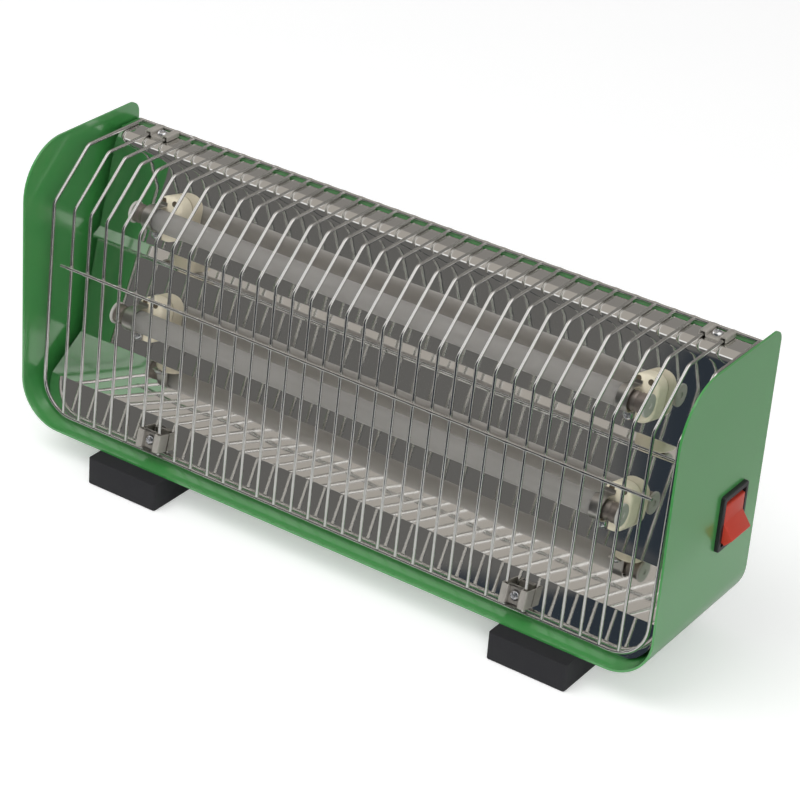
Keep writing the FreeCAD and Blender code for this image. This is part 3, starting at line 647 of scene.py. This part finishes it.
class HEATER_OT_stage(bpy.types.Operator):
    """Sets the camera, the lamps, the surrounding light and the floor"""

    bl_idname = "heater.stage"
    bl_label = "Stage"

    def execute(self, context):
        stage = context.scene.heater_stage
        context.scene.view_settings.view_transform = "Standard"
        az, el = stage.azimuth, stage.elevation
        ahead = Vector((-math.sin(az) * math.cos(el), math.cos(az) * math.cos(el), -math.sin(el)))
        level = Vector((math.cos(az), math.sin(az), 0))
        right = level * math.cos(stage.roll) + level.cross(ahead) * math.sin(stage.roll)
        turn = Matrix((right, right.cross(ahead), -ahead)).transposed()
        lens = bpy.data.cameras.new("camera")
        lens.lens = stage.lens
        camera = add("camera", lens)
        camera.matrix_world = Matrix.Translation(stage.eye) @ turn.to_4x4()
        context.scene.camera = camera
        self.floor(stage)
        self.lamps(stage)
        self.cards(stage)
        self.surroundings(context.scene, stage)
        return {"FINISHED"}

    def plate(self, name, low, high):
        """A flat rectangle between two opposite corners, with its object and its shader tree."""
        low, high = np.array(low), np.array(high)
        wide, tall = np.diag(high - low)[high != low]
        mesh = bpy.data.meshes.new(name)
        mesh.from_pydata([low, low + wide, high, low + tall], [], [(0, 1, 2, 3)])
        plate = add(name, mesh)
        made = bpy.data.materials.new(name)
        made.use_nodes = True
        mesh.materials.append(made)
        return plate, made.node_tree

    def floor(self, stage):
        """A pale floor that keeps the shadow and that the camera sees as white."""
        corner = np.array([FLOOR_HALF, FLOOR_HALF, -FLOOR_DROP])
        _, tree = self.plate("pale floor", corner * (-1, -1, 1), corner)
        shader = fill(tree.nodes["Principled BSDF"], FLOOR)
        paths = place(tree, "ShaderNodeLightPath")
        glow = place(tree, "ShaderNodeMath", {1: stage.floor_glow}, operation="MULTIPLY")
        join(tree, (paths, "Is Camera Ray", glow, 0), (glow, 0, shader, "Emission Strength"))

    def lamps(self, stage):
        """Two soft lamps: a key front left and high, and a weaker one front right."""
        for name, (power, size, spot) in LAMPS.items():
            light = bpy.data.lights.new(name, "AREA")
            light.energy = getattr(stage, power)
            light.size = size
            lamp = add(name, light)
            lamp.location = spot
            lamp.rotation_euler = (LAMP_AIM - Vector(spot)).to_track_quat("-Z", "Y").to_euler()
            lamp.visible_glossy = False

    def cards(self, stage):
        """Cards that only glossy surfaces mirror: grey and white round the heater, dark in front of it."""
        for name, corners in GREY_CARDS.items():
            self.card(name, *corners, (*getattr(stage, name), 1))
        for name, corners in WHITE_CARDS.items():
            self.card(name, *corners, WHITE, stage.window)
        for name, card in DARK_CARDS.items():
            self.dusk(stage, name, *card)

    def card(self, name, low, high, shade, strength=1.0):
        """A glowing card that the camera and plain surfaces don't see."""
        card, tree = self.plate(name + " card", low, high)
        card.visible_camera = False
        card.visible_diffuse = False
        card.visible_shadow = False
        card.visible_transmission = False
        shader = fill(tree.nodes["Principled BSDF"], CARD)
        return tree, fill(shader, {"Emission Color": shade, "Emission Strength": strength})

    def dusk(self, stage, name, low, high, start):
        """A dark card that fades from dusk on the left to night on the right. It is white, as the
        surroundings are, for light that a plain surface gets by way of the mirror and for a third
        mirroring."""
        dusk, night = (*stage.dusk, 1), (*stage.night, 1)
        tree, shader = self.card(name, low, high, dusk)
        where = place(tree, "ShaderNodeTexCoord")
        split = place(tree, "ShaderNodeSeparateXYZ")
        ends = {"From Min": start, "From Max": start + FADE_LONG}
        fade = place(tree, "ShaderNodeMapRange", ends, interpolation_type="SMOOTHSTEP")
        dark = place(tree, "ShaderNodeMix", {"A": dusk, "B": night}, data_type="RGBA")
        paths = place(tree, "ShaderNodeLightPath")
        third = place(tree, "ShaderNodeMath", {1: 2.0}, operation="SUBTRACT")
        either = place(tree, "ShaderNodeMath", operation="MAXIMUM", use_clamp=True)
        lit = place(tree, "ShaderNodeMix", {"B": WHITE}, data_type="RGBA")
        join(
            tree,
            (where, "Object", split, "Vector"),
            (split, "X", fade, "Value"),
            (fade, "Result", dark, "Factor"),
            (paths, "Glossy Depth", third, 0),
            (paths, "Diffuse Depth", either, 0),
            (third, 0, either, 1),
            (either, 0, lit, "Factor"),
            (dark, "Result", lit, "A"),
            (lit, "Result", shader, "Emission Color"),
        )

    def surroundings(self, scene, stage):
        """Even light all round, which the camera, bright metal and glass see as white."""
        world = bpy.data.worlds.new("studio")
        scene.world = world
        world.use_nodes = True
        tree = world.node_tree
        soft = fill(tree.nodes["Background"], {"Color": WHITE, "Strength": stage.fill})
        white = place(tree, "ShaderNodeBackground", {"Color": WHITE, "Strength": 1.0})
        paths = place(tree, "ShaderNodeLightPath")
        direct, shown = (place(tree, "ShaderNodeMath", operation="MAXIMUM") for _ in range(2))
        mix = place(tree, "ShaderNodeMixShader")
        join(
            tree,
            (paths, "Is Camera Ray", direct, 0),
            (paths, "Is Glossy Ray", direct, 1),
            (direct, 0, shown, 0),
            (paths, "Is Transmission Ray", shown, 1),
            (shown, 0, mix, 0),
            (soft, 0, mix, 1),
            (white, 0, mix, 2),
            (mix, 0, tree.nodes["World Output"], "Surface"),
        )


class HEATER_OT_case(bpy.types.Operator):
    """Makes the bent sheet case and the feet, and finishes the cover"""

    bl_idname = "heater.case"
    bl_label = "Case"

    def execute(self, context):
        sizes = context.scene.case_sizes
        dress("green", "back_cover")
        dress("black", "cable_gland")
        points, faces = self.wrap(sizes)
        piece = as_piece("case", points, faces, "green", "case_wrap", "green_paint")
        rounding = piece.modifiers.new("rounded edges", "BEVEL")
        rounding.width = sizes.edge
        rounding.segments = 2
        rounding.limit_method = "ANGLE"
        rounding.angle_limit = math.radians(ROUNDED_PAST)
        rounding.harden_normals = True
        self.feet(sizes)
        return {"FINISHED"}

    def wrap(self, sizes, arc=15):
        """A U of walls and floor with an L across it: a point lies on the U, moved back by y and inwards
        by d. The L runs back along the outer face, in along the flange and forward along the inner face.
        Near the walls' tops y keeps inside R - sqrt(R^2 - rise^2) at each corner. The switch's hole is
        left open."""
        half, bend = CASE_WIDE / 2, sizes.bend
        low, high = box("switch_housing", ORIGIN)
        inset = sizes.bezel_lap - sizes.hole_clearance
        y_edges, z_edges = np.stack([low + inset, high - inset], -1)[1:]
        corners = sizes.front_corner, sizes.back_corner
        swing = np.linspace(0, RIGHT_ANGLE, arc)
        tops = [CASE_TALL - corner + corner * np.sin(swing) for corner in corners]
        flange_end = [sizes.flange_top, sizes.flange_top + sizes.edge]
        left = merged(spread([bend, CASE_TALL], step=20 * MM), *tops, flange_end)
        right = merged(left, z_edges)
        floor = spread([-half + bend, half - bend], step=30 * MM)
        sin, cos = np.sin(swing[1:-1]), np.cos(swing[1:-1])
        # Along the U: left wall, corner, floor, corner, right wall
        x = [-half + 0 * left, -half + bend - bend * cos, floor, half - bend + bend * sin, half + 0 * right]
        z = [left[::-1], bend - bend * sin, 0 * floor, bend - bend * cos, right]
        in_x = [1 + 0 * left, cos, 0 * floor, -sin, -1 + 0 * right]
        in_z = [0 * left, sin, 1 + 0 * floor, cos, 0 * right]
        x, z, in_x, in_z = (np.concatenate(runs)[:, None] for runs in (x, z, in_x, in_z))
        # Along the L: outer face, flange, inner face
        across = merged(spread([0, CASE_DEEP], step=12 * MM), y_edges)
        inside = CASE_DEEP - sizes.sheet
        run = np.concatenate([across, [CASE_DEEP, inside], across[::-1].clip(max=inside)])
        depth = np.concatenate([0 * across, [sizes.flange] * 2, sizes.sheet + 0 * across])
        rises = ((z - CASE_TALL + corner).clip(0, corner) for corner in corners)
        front, back = (corner - np.sqrt(corner**2 - rise**2) for corner, rise in zip(corners, rises))
        y = front + (CASE_DEEP - front - back) * run / CASE_DEEP
        inward = np.minimum(depth, np.where(z > sizes.flange_top, sizes.sheet, sizes.flange))
        points = np.stack([x + in_x * inward, y, z + in_z * inward], -1)
        first = len(z) - len(right)
        rows = [first + int(np.argmin(np.abs(right - edge))) for edge in z_edges]
        columns = [int(np.argmin(np.abs(across - edge))) for edge in y_edges]
        return points + ORIGIN, self.wrap_faces(y.shape, len(across) - 1, *rows, *columns)

    def wrap_faces(self, shape, last, a, b, c, d):
        """Quads between neighbours on the wrap's grid, whose columns close to a loop. The hole leaves out
        rows a to b and columns c to d of both faces, and a rim joins its two edges. Quads also close the
        walls' tops."""
        grid = np.arange(shape[0] * shape[1]).reshape(shape)
        follow, mate = np.roll(grid, -1, axis=1), grid[:, ::-1]
        quads = np.stack([grid[:-1], follow[:-1], follow[1:], grid[1:]], -1)
        keep = np.ones(quads.shape[:2], bool)
        keep[a:b, c:d] = False
        keep[a:b, shape[1] - 1 - d : shape[1] - 1 - c] = False
        outer, inner = (
            np.concatenate([face[a:b, c], face[b, c:d], face[b:a:-1, d], face[a, d:c:-1]])
            for face in (grid, mate)
        )
        rim = np.stack([outer, np.roll(outer, -1), np.roll(inner, -1), inner], -1)
        here, there = slice(0, last), slice(1, last + 1)
        tops = np.stack([grid[:, here], grid[:, there], mate[:, there], mate[:, here]], -1)[[0, -1]]
        flange_tops = grid[[0, -1], last : last + 4]
        groups = quads[keep], rim, tops, flange_tops
        return np.concatenate([faces.reshape(-1, 4) for faces in groups]).tolist()

    def feet(self, sizes):
        """Two blocks with round upright edges and softened rims."""
        for side in SIDES:
            name = "foot_" + side
            low, high = box(name)
            outline = box_outline(*(high - low)[:2], sizes.foot_corner)
            block = cushion(outline, low[2], high[2], sizes.foot_edge, sizes.foot_edge / 2)
            block[..., :2] += (low + high)[:2] / 2
            shells_piece(name + "_block", block, "rubber", name, "foot_rubber")


# How fast the reflector's slight waves turn, in radians per metre of the fold line and of the case
WAVE_SKEW, WAVE_CROSS, WAVE_DRIFT = 40.0, 50.0, 9.0


class HEATER_OT_reflector(bpy.types.Operator):
    """Makes the folded reflector"""

    bl_idname = "heater.reflector"
    bl_label = "Reflector"

    def execute(self, context):
        points = self.sheet(context.scene.reflector_sizes, context.scene.case_sizes)
        name, slot = "mirror_sheet", "polished_aluminium"
        piece = shells_piece(name, points, "mirror", "reflector", slot, sharp=BEND_SHARP)
        flat_runs = piece.modifiers.new("flat between folds", "WEIGHTED_NORMAL")
        flat_runs.keep_sharp = True
        return {"FINISHED"}

    def sheet(self, sizes, case, columns=193, step=3 * MM):
        """A folded line with its thickness behind it, carried along the case to t times a half length that
        keeps inside the case's lower bend, h - R + sqrt(R^2 - drop^2). Its slight waves, with s along the
        line, are sin(2 pi x / L + skew s) sin(cross s + drift x), and fade at the ends by 1 - t^8."""
        low, high = box("reflector", ORIGIN)
        half = (high[0] - low[0]) / 2
        _, up, out = lean_axes(sizes.panel_lean)
        foot = lip_foot()
        lip_top = foot + (0, sizes.lip_height * math.tan(sizes.lip_lean), sizes.lip_height)
        panel = lip_top + (0, sizes.floor_run, sizes.floor_rise)
        rise = (high[2] - panel[2]) / up[2]
        ridge = rise / 2 + np.array([sizes.ridge_above, -sizes.ridge_drop, -sizes.ridge_below])
        stands = np.array([0, 0, sizes.ridge_out, 0])
        panels = panel + np.append(rise, ridge)[:, None] * up + stands[:, None] * out
        flange_end = (0, CASE_DEEP - sizes.end_inset, high[2])
        corners = [flange_end, *panels, panel, lip_top, foot, foot + (0, sizes.lip_turn, 0)]
        line = bent_path(corners, [sizes.top_bend] + [sizes.fold] * 6, step)
        behind = np.cross(X, unit(np.gradient(line, axis=0)))
        loop = np.concatenate([line, (line + behind * sizes.sheet)[::-1]])
        bend = half - CASE_WIDE / 2 + case.bend
        drop = (bend - loop[:, 2] + case.sheet).clip(0, bend)
        t = np.linspace(-1, 1, columns)[:, None]
        x = t * (half - bend + np.sqrt(bend**2 - drop**2))
        s = np.arange(len(line)) * step
        s, lean = (np.concatenate([values, values[::-1]]) for values in (s, behind))
        wave = np.sin(2 * np.pi * x / sizes.wave_long + WAVE_SKEW * s) * (1 - t**8)
        wave *= np.sin(WAVE_CROSS * s + WAVE_DRIFT * x)
        return ORIGIN + loop + x[..., None] * X + sizes.wave * wave[..., None] * lean


class HEATER_OT_guard(bpy.types.Operator):
    """Makes the wire guard with its weld beads, and finishes the clips"""

    bl_idname = "heater.guard"
    bl_label = "Guard"

    def execute(self, context):
        guard = context.scene.guard_sizes
        xs, half = wire_places()
        rear, mid = (middle(name) - ORIGIN for name in ("guard_rear_rod", "guard_middle_rod"))
        front = [(0, guard.front, guard.foot), (0, guard.low_y, guard.low_z), (0, guard.high_y, rear[2])]
        line = np.array([*front, (0, rear[1] - guard.rod / 2, rear[2])])
        self.wires(guard, xs, half, line, mid[2])
        # The frame's rod takes the wires' way at both ends, with the bottom run between them
        corners = np.concatenate([line[::-1] - half * X, line + half * X])
        knees, turns = [guard.bend] * 2, [guard.corner] * 2
        path = bent_path(corners, knees + turns + knees, step=3 * MM, arc=11)
        self.rod("guard_frame_rod", path, guard.rod, np.zeros(len(path)), "guard_frame")
        rods = ("guard_rear_rod", rear, guard.rod), ("guard_middle_rod", mid, guard.wire)
        for name, centre, thick in rods:
            low, high = box(name, ORIGIN)
            x = spread([low[0], *xs, high[0]], step=0.9 * MM)
            bead = hump(x[:, None] - xs, guard.weld_long).sum(1)
            self.rod(name + "_welded", x[:, None] * X + centre * (0, 1, 1), thick, bead * guard.weld, name)
        dress("nickel", *named("guard_clip_top"))
        self.clips(context.scene, guard, xs)
        return {"FINISHED"}

    def clips(self, scene, guard, xs):
        """The lower clips: a sheet over two wires, with a bridge between them, folded along one outline and
        carried up the lip. Each wall stands a clearance off its wire."""
        sizes, pitch, high = scene.screw_sizes, xs[1] - xs[0], clip_top()
        along, up, out = lean_axes(scene.reflector_sizes.lip_lean)
        outer, inner = (pitch / 2 + s * (guard.wire / 2 + sizes.clip_clearance) for s in (1, -1))
        half = [(outer, sizes.clip_clearance), (outer, high), (inner, high), (inner, high - sizes.clip_sink)]
        fold = bent_path(half + [(-x, z) for x, z in half[::-1]], [sizes.clip / 2] * 6, step=2 * MM, arc=5)
        side = unit(np.gradient(fold, axis=0)) @ np.array([[0, -1], [1, 0]])
        loop = np.concatenate([fold, (fold + side * sizes.clip)[::-1]])
        climbs = np.array([-1, 1]) * sizes.clip_wide / 2 + sizes.clip_climb
        rings = np.stack([np.insert(loop, 1, climb, axis=1) for climb in climbs])
        for name, sign in SIDES.items():
            spot = ORIGIN + lip_foot() + along * sign * clip_place(LOW_CLIP_WIRE)
            node = "guard_clip_bottom_" + name
            shells_piece(node + "_folded", set_in(rings, spot, along, up, out), "nickel", node, "clip_steel")

    def rod(self, name, path, thick, bead, node):
        """A round rod along a path, swollen by its weld beads."""
        rings = rod_along(path + ORIGIN, thick / 2 + bead, Y - Z, sides=14)
        shells_piece(name, rings, "chrome", node, "chromed_wire", sharp=BEND_SHARP)

    def wires(self, guard, xs, half, line, rod_high):
        """All wires from one bent path, swollen where they are welded. The outermost ones start higher, on
        the frame's round corner: by R - sqrt(R^2 - d^2) where they stand d past the corner's start."""
        climb = unit(line[1] - line[0])
        path = bent_path([line[0] + climb * guard.rod / 2, *line[1:]], [guard.bend] * 2, step=2 * MM)
        run = np.concatenate([[0], np.cumsum(np.linalg.norm(np.diff(path, axis=0), axis=1))])
        past = (np.abs(xs) - half + guard.corner).clip(0)
        lift = guard.corner - np.sqrt(guard.corner**2 - past**2)
        fade = (1 - run / np.linalg.norm(line[1] - line[0])).clip(0)
        paths = path + lift[:, None, None] * fade[:, None] * climb + xs[:, None, None] * X
        beads = sum(hump(away, guard.weld_long) for away in (path[:, 2] - rod_high, run, run[-1] - run))
        radius = guard.wire / 2 + np.broadcast_to(beads * guard.weld, paths.shape[:2])
        rings = rod_along(paths + ORIGIN, radius, X)
        shells_piece("guard_wires_welded", rings, "chrome", "guard_wires", "chromed_wire", sharp=BEND_SHARP)


# Where a cap's neck is crimped and how far a crimp spreads, in lengths of the neck
CRIMPS, CRIMP_SPREAD = (0.3, 0.62), 0.07
# Radii of the end disc's hollow, in radii of the disc
HOLLOW = np.array([0.62, 0.3, 0.24, 0.04])
# Radii and heights of a ceramic's dimple, in radii of its hole
DIMPLE_R = np.array([1.25, 1.2, 1.05, 0.95, 0.9, 0.2])
DIMPLE_Z = np.array([-0.2, 0.06, 0.1, 0.06, 0.03, 0.03])


class HEATER_OT_elements(bpy.types.Operator):
    """Makes the tubes, coils, end caps and ceramics, and finishes the straps"""

    bl_idname = "heater.elements"
    bl_label = "Elements"

    def execute(self, context):
        sizes = context.scene.element_sizes
        axes = lean_axes(context.scene.reflector_sizes.panel_lean)
        for row in ROWS:
            self.tube(sizes, row)
            self.coil(sizes, row)
            for side in SIDES:
                self.cap(sizes, row, side)
                self.ceramic(sizes, row, side, axes)
        dress("ceramic", "insulating_washers")
        dress("steel", *named("tube_strap"))
        dress("brass", "terminal_nuts", "switch_blades")
        return {"FINISHED"}

    def tube(self, sizes, row):
        """A solid milky rod, its outline with round rims turned round its axis. It hides the coil as milky
        quartz does."""
        node = "quartz_tube_" + row
        low, high = box(node)
        reach, outer = (high[0] - low[0]) / 2, tube_radius(row)
        inset, deep = round_rim(sizes.tube_wall / 2)
        stations = spread([-reach + sizes.tube_wall / 2, reach - sizes.tube_wall / 2], step=20 * MM)
        x = np.concatenate([-reach + deep, stations, reach - deep[::-1]])
        r = np.concatenate([outer - inset, 0 * stations + outer, outer - inset[::-1]])
        rings = set_in(turned(x, r, sides=48), middle(node), Y, Z, X)
        shells_piece("milky_tube_" + row, rings, "quartz", node, "milky_quartz")

    def coil(self, sizes, row, steps=18):
        """A helix inside the tube: (x, r cos a, r sin a) with a growing evenly along x."""
        node, wire = "heating_coil_" + row, sizes.coil_wire
        low, high = box(node)
        radius = (high[2] - low[2] - wire) / 2
        a = np.linspace(0, 2 * np.pi * sizes.coil_turns, sizes.coil_turns * steps)
        x = np.linspace(low[0] + wire, high[0] - wire, len(a))
        path = np.stack([x, radius * np.cos(a), radius * np.sin(a)], -1) + middle(node) * (0, 1, 1)
        rings = rod_along(path, 0 * a + wire / 2, X, sides=6)
        shells_piece(node + "_helix", rings, "steel", node, "coil_wire")

    def cap(self, sizes, row, side, rings=33):
        """A metal neck, less g times a soft hump at each crimp, and an end disc with a small hollow, both
        turned round the tube's axis."""
        node, outward = "end_cap_" + row + "_" + side, SIDES[side]
        (low, high), end = box(node), int(outward > 0)
        long, rim = high[0] - low[0], (high[2] - low[2]) / 2
        tube_end = box("quartz_tube_" + row)[end][0]
        plug = long - abs((low, high)[end][0] - tube_end)
        neck, edge, disc = sizes.cap_neck / 2, sizes.cap_edge, sizes.disc
        bore = tube_radius(row) - sizes.tube_wall - edge / 4
        share = np.linspace(0, 1, rings)
        groove = sizes.cap_groove * sum(hump(share - crimp, CRIMP_SPREAD) for crimp in CRIMPS)
        crimp = plug + edge + share * (long - disc - 2 * edge - plug)
        z = np.concatenate([[0, 0, plug, plug], crimp, [long - disc] * 2])
        r = np.concatenate([[bore / 5, bore, bore, neck - edge / 2], neck - groove, [neck, neck / 5]])
        start = middle(node) * (0, 1, 1) + X * (tube_end - outward * plug)
        axes = Y, Z, outward * X
        shells_piece(node + "_neck", set_in(turned(z, r), start, *axes), "tarnish", node, "cap_steel")
        inset, deep = round_rim(edge)
        z = np.concatenate([[0], deep, disc - deep[::-1], [disc, disc, disc - edge, disc - edge]])
        z += long - disc
        r = np.concatenate([[neck / 5], rim - inset, rim - inset[::-1], HOLLOW * rim])
        shells_piece(node + "_bead", set_in(turned(z, r), start, *axes), "bead", node, "cream_ceramic")

    def ceramic(self, sizes, row, side, axes):
        """A softened block on the panel behind a tube's end, and two holes as shallow turned dimples on its
        front, dark with the holes' painted shade.
        """
        node = "ceramic_holder_" + row + "_" + side
        low, high = box(node)
        along, up, out = axes
        tube = middle("quartz_tube_" + row)
        base = np.array([middle(node)[0], tube[1], tube[2]]) - out * sizes.standoff
        thick = sizes.standoff - tube_radius(row) - sizes.holder_gap
        outline = box_outline(high[0] - low[0], sizes.holder_tall, sizes.holder_corner, arc=8)
        block = cushion(outline, 0, thick, sizes.holder_edge / 4, sizes.holder_edge, arc=7)
        shells_piece(node + "_glazed", set_in(block, base, *axes), "ceramic", node, "cream_ceramic")
        dimple = turned(DIMPLE_Z * sizes.pocket / 2, DIMPLE_R * sizes.pocket / 2, sides=20)
        centre = base + up * sizes.pocket_climb + out * thick
        spots = [centre + along * sign * sizes.pocket_spread / 2 for sign in SIDES.values()]
        dimples = [set_in(dimple, spot, *axes) for spot in spots]
        # The dimples are nearly flat; their dark finish is the holes' painted shade
        shells_piece(node + "_holes", dimples, "hole", node, "cream_ceramic")


class HEATER_OT_switch(bpy.types.Operator):
    """Makes the red rocker and finishes the switch's housing"""

    bl_idname = "heater.switch"
    bl_label = "Switch"

    def execute(self, context):
        sizes = context.scene.switch_sizes
        dress("black", "switch_housing")
        pivot = sizes.proud - sizes.valley * math.cos(sizes.tilt)
        centre = np.array([CASE_HIGH[0] + pivot, *middle("switch_housing")[1:]])
        sin, cos = math.sin(sizes.tilt), math.cos(sizes.tilt)
        axes = (-sin, 0, cos), (cos, 0, sin), Y
        for name, shell in (("red_rocker", self.rocker(sizes)), ("rocker_pins", self.pins(sizes))):
            points = set_in(shell, centre, *axes)
            shells_piece(name, points, "red", "switch_rocker", "red_plastic", body=ROCKER)
        return {"FINISHED"}

    def rocker(self, sizes):
        """A side view with a valley between two crests and a belly behind, rounded at its corners and carried
        along the pivot between round rims."""
        crest = sizes.half - sizes.taper
        end = sizes.valley + crest * math.tan(sizes.tilt)
        belly = [(0, -sizes.belly), (sizes.belly_half, -sizes.belly)]
        upper = [*belly, (sizes.half, -sizes.skirt), (crest, end), (0, sizes.valley)]
        corners = upper + [(-b, c) for b, c in upper[-2::-1]]
        loop = bent_path(corners, [sizes.edge] * (len(corners) - 2), step=1 * MM, arc=5)[:-1]
        return cushion(loop, -sizes.wide / 2, sizes.wide / 2, sizes.edge, sizes.edge)

    def pins(self, sizes, drawn_in=0.7):
        """One turned pin through the rocker, with its ends drawn in to a share of its radius."""
        pin, reach = sizes.pin / 2, sizes.wide / 2 + sizes.pin_long
        ends = [-reach, -reach + pin / 3, reach - pin / 3, reach]
        return turned(ends, np.array([drawn_in, 1, 1, drawn_in]) * pin, sides=20)


class HEATER_OT_screws(bpy.types.Operator):
    """Makes the cross head screws that show"""

    bl_idname = "heater.screws"
    bl_label = "Screws"

    def execute(self, context):
        sizes, reflector = context.scene.screw_sizes, context.scene.reflector_sizes
        short = cross_screw(sizes, sizes.short)
        clips = self.clip_screws(sizes, short, lean_axes(reflector.lip_lean))
        shells_piece("clip_cross_screws", clips, "zinc", "clip_screws", "screw_steel")
        covers = self.cover_screws(sizes, short)
        shells_piece("cover_cross_screws", covers, "zinc", "cover_screws", "screw_steel")
        terminals = self.terminal_screws(sizes, context.scene.element_sizes, lean_axes(reflector.panel_lean))
        shells_piece("terminal_cross_screws", terminals, "zinc", "terminal_screws", "screw_steel")
        return {"FINISHED"}

    def clip_screws(self, sizes, short, lip_axes):
        """Screws in the lower clips' bridges, square to the lip, and upright ones in the upper clips."""
        along, up, out = lip_axes
        bridge = clip_top() - sizes.clip_sink
        low_spot = ORIGIN + lip_foot() + up * sizes.clip_climb + out * (bridge + sizes.clip)
        top = box("reflector")[1][2] + sizes.clip
        top_spot = np.array([ORIGIN[0], ORIGIN[1] + CASE_DEEP - sizes.clip_inset, top])
        long = cross_screw(sizes, sizes.short + bridge)
        low_away, top_away = along * clip_place(LOW_CLIP_WIRE), along * clip_place(TOP_CLIP_WIRE)
        lows = [set_in(long, low_spot + sign * low_away, *lip_axes) for sign in (1, -1)]
        return lows + [set_in(short, top_spot + sign * top_away, X, Y, Z) for sign in (1, -1)]

    def cover_screws(self, sizes, short):
        """Screws along the back cover's rim: two at each side and two below."""
        side, inner = CASE_WIDE / 2 - sizes.rim, CASE_WIDE / 2 - sizes.cover_inset
        spots = [(sign * side, z) for sign in SIDES.values() for z in (sizes.cover_low, sizes.cover_high)]
        spots += [(sign * inner, sizes.rim) for sign in SIDES.values()]
        return [set_in(short, ORIGIN + (x, CASE_DEEP + sizes.cover, z), -X, Z, Y) for x, z in spots]

    def terminal_screws(self, sizes, elements, panel_axes):
        """Screws through the straps' feet into the ceramics, square to the panel."""
        _, up, out = panel_axes
        terminal = cross_screw(sizes, sizes.terminal)
        shells = []
        for row in ROWS:
            lift = elements.strap - tube_radius(row) - elements.holder_gap
            foot = middle("quartz_tube_" + row) * (0, 1, 1) - up * elements.strap_screw + out * lift
            straps = [middle("tube_strap_" + row + "_" + side)[0] for side in SIDES]
            shells += [set_in(terminal, foot + x * X, *panel_axes) for x in straps]
        return shells


class HEATER_OT_wiring(bpy.types.Operator):
    """Finishes the leads, the terminal block and the hidden screws"""

    bl_idname = "heater.wiring"
    bl_label = "Wiring"

    def execute(self, context):
        dress("pale", *named("lead_"), "terminal_block")
        dress("steel", "foot_screws", "terminal_block_screw")
        return {"FINISHED"}


class HEATER_PT_panel(bpy.types.Panel):
    """Lists the heater's steps"""

    bl_label = "Radiant heater"
    bl_idname = "HEATER_PT_panel"
    bl_space_type = "VIEW_3D"
    bl_region_type = "UI"
    bl_category = "Heater"

    def draw(self, context):
        for step in STEPS:
            self.layout.operator(step.bl_idname)


GROUPS = {
    "case_sizes": CaseSizes,
    "reflector_sizes": ReflectorSizes,
    "guard_sizes": GuardSizes,
    "element_sizes": ElementSizes,
    "screw_sizes": ScrewSizes,
    "switch_sizes": SwitchSizes,
    "heater_colours": HeaterColours,
    "heater_stage": HeaterStage,
}
STEPS = (
    HEATER_OT_stage,
    HEATER_OT_case,
    HEATER_OT_reflector,
    HEATER_OT_guard,
    HEATER_OT_elements,
    HEATER_OT_switch,
    HEATER_OT_screws,
    HEATER_OT_wiring,
)


def register():
    for kind in (*GROUPS.values(), *STEPS, HEATER_PT_panel):
        bpy.utils.register_class(kind)
    for name, kind in GROUPS.items():
        setattr(bpy.types.Scene, name, bpy.props.PointerProperty(type=kind))


def unregister():
    for name in GROUPS:
        delattr(bpy.types.Scene, name)
    for kind in (HEATER_PT_panel, *reversed(STEPS), *GROUPS.values()):
        bpy.utils.unregister_class(kind)


def main():
    register()
    for step in STEPS:
        group, action = step.bl_idname.split(".")
        getattr(getattr(bpy.ops, group), action)()


if __name__ == "__main__":
    main()
